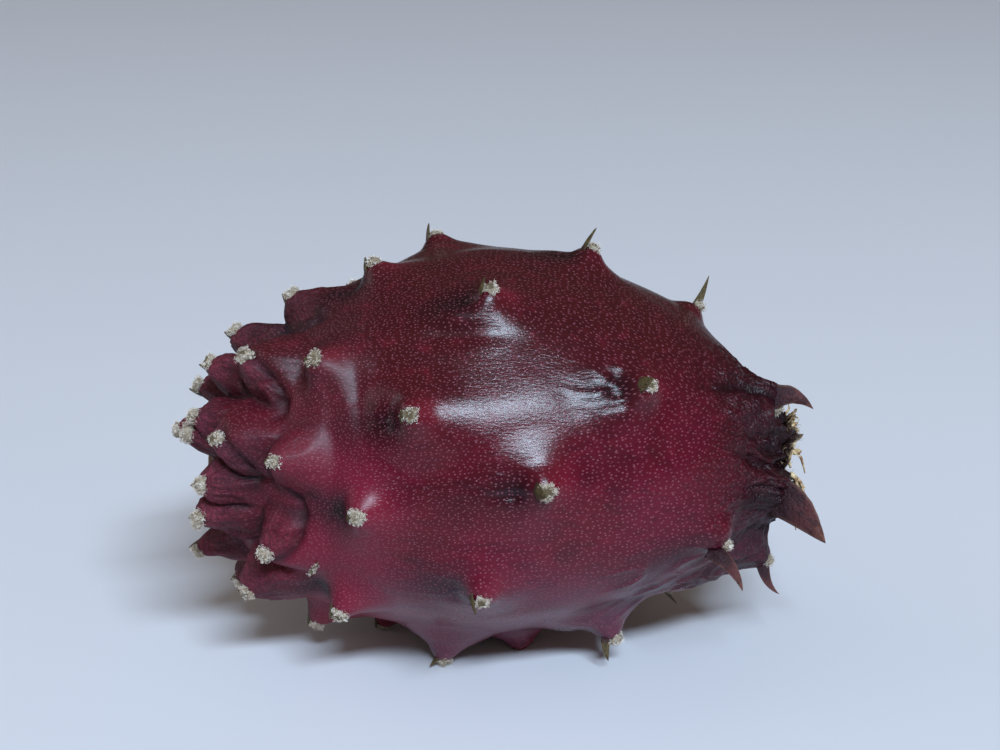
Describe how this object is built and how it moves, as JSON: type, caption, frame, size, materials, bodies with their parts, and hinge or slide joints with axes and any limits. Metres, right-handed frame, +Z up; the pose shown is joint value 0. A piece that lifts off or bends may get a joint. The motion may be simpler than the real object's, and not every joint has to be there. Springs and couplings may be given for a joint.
{
  "type": "dragon fruit",
  "caption": "Whole dark red dragon fruit lying on its side, with crowded warty bumps at the stem end, wool-tipped bumps along its body and curled scale leaves round the flower end.",
  "frame": {"origin": "middle of the fruit's box in plan, on the surface it lies on", "axes": "+X from the stem end to the flower end, +Z up, the side the fruit bows to faces -Y"},
  "size_m": [0.102, 0.0714, 0.0676],
  "materials": {
    "rind": "waxy dark maroon rind with fine pale dots",
    "dried_flower": "dry fibrous straw",
    "areole_wool": "matte cream wool",
    "scale_leaf": "dry olive to reddish brown leaf"
  },
  "bodies": {
    "root": {"fruit": "rind", "flower_remnant": "dried_flower"}
  },
  "joints": []
}
